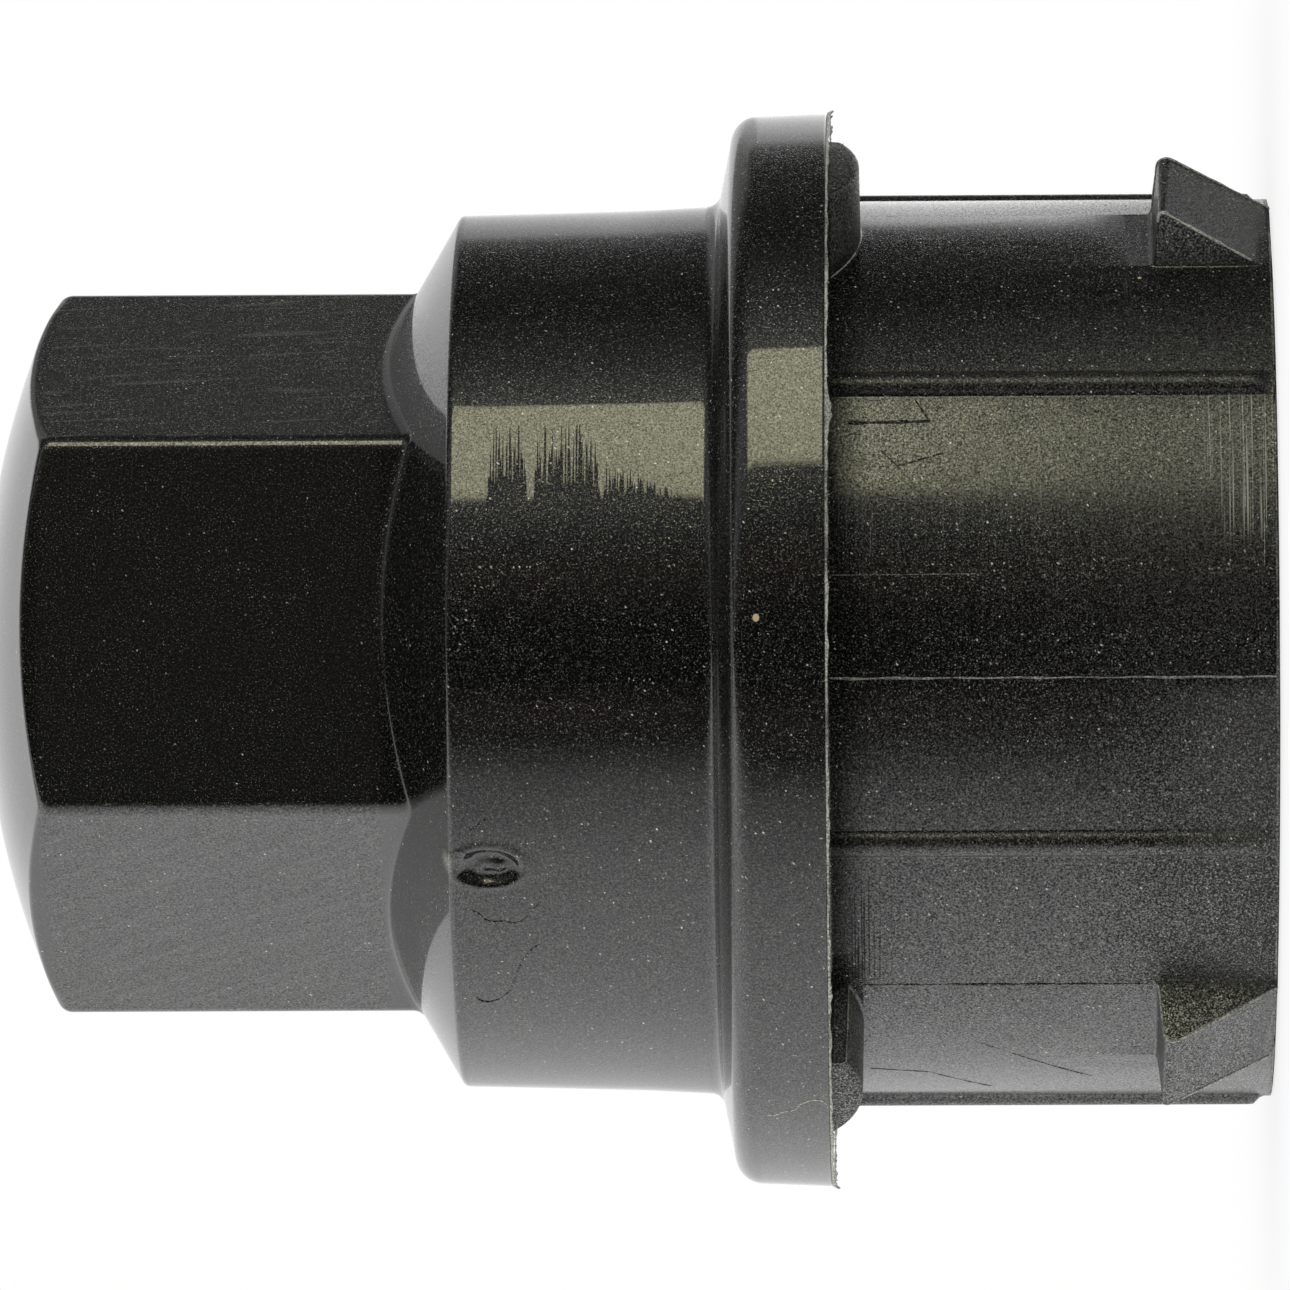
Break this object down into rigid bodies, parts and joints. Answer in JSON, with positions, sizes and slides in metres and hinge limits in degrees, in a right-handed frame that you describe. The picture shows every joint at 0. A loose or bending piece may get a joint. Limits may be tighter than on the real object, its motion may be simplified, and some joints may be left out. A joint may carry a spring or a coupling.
{
  "type": "wheel nut cover cap",
  "caption": "Moulded cap with a domed hexagon head, a flange with lugs and a skirt with hooks and ribs; it screws over a wheel nut and holds the wheel trim.",
  "frame": {"origin": "centre of the open rim, on the plane that the cap stands on", "axes": "+Z along the cap's axis, from the open rim towards the domed hexagon head; +Y towards one of the three hooks"},
  "size_m": [0.0376, 0.0376, 0.045],
  "materials": {
    "black_plastic": "glossy, as moulded"
  },
  "bodies": {
    "root": {"cap": "black_plastic"}
  },
  "joints": []
}
